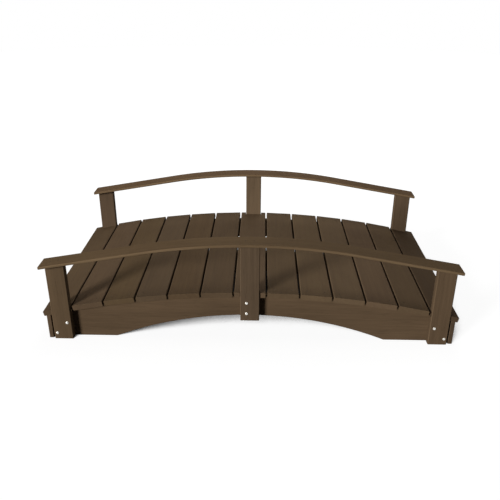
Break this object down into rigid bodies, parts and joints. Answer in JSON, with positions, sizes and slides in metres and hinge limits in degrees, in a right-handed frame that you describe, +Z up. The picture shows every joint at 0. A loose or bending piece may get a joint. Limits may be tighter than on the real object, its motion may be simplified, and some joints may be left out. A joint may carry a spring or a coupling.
{
  "type": "garden bridge",
  "caption": "Low arched garden footbridge: crosswise deck boards on arch-cut beams, flat upright posts and a bent board handrail along each side.",
  "frame": {"origin": "on the ground under the middle of the deck", "axes": "+X along the bridge, the way that people walk, +Y across it to the back handrail, +Z up"},
  "size_m": [2.4234, 1.343, 0.6458],
  "materials": {
    "deck_lumber": "brown recycled plastic lumber, faint wood grain, satin",
    "frame_lumber": "brown recycled plastic lumber, faint wood grain, satin",
    "post_lumber": "brown recycled plastic lumber, faint wood grain, satin",
    "rail_lumber": "brown recycled plastic lumber, faint wood grain, satin",
    "fastener_steel": "steel: bright stainless bolt heads, deck and rail screw heads coated brown"
  },
  "bodies": {
    "root": {"deck_board_01": "deck_lumber", "deck_board_02": "deck_lumber", "deck_board_03": "deck_lumber", "deck_board_04": "deck_lumber", "deck_board_05": "deck_lumber", "deck_board_06": "deck_lumber", "deck_board_07": "deck_lumber", "deck_board_08": "deck_lumber", "deck_board_09": "deck_lumber", "deck_board_10": "deck_lumber", "deck_board_11": "deck_lumber", "deck_board_12": "deck_lumber", "deck_board_13": "deck_lumber", "front_beam": "frame_lumber", "middle_beam": "frame_lumber", "back_beam": "frame_lumber", "left_end_board": "frame_lumber", "right_end_board": "frame_lumber", "front_left_post": "post_lumber", "front_middle_post": "post_lumber", "front_right_post": "post_lumber", "back_left_post": "post_lumber", "back_middle_post": "post_lumber", "back_right_post": "post_lumber", "front_handrail": "rail_lumber", "back_handrail": "rail_lumber"}
  },
  "joints": []
}
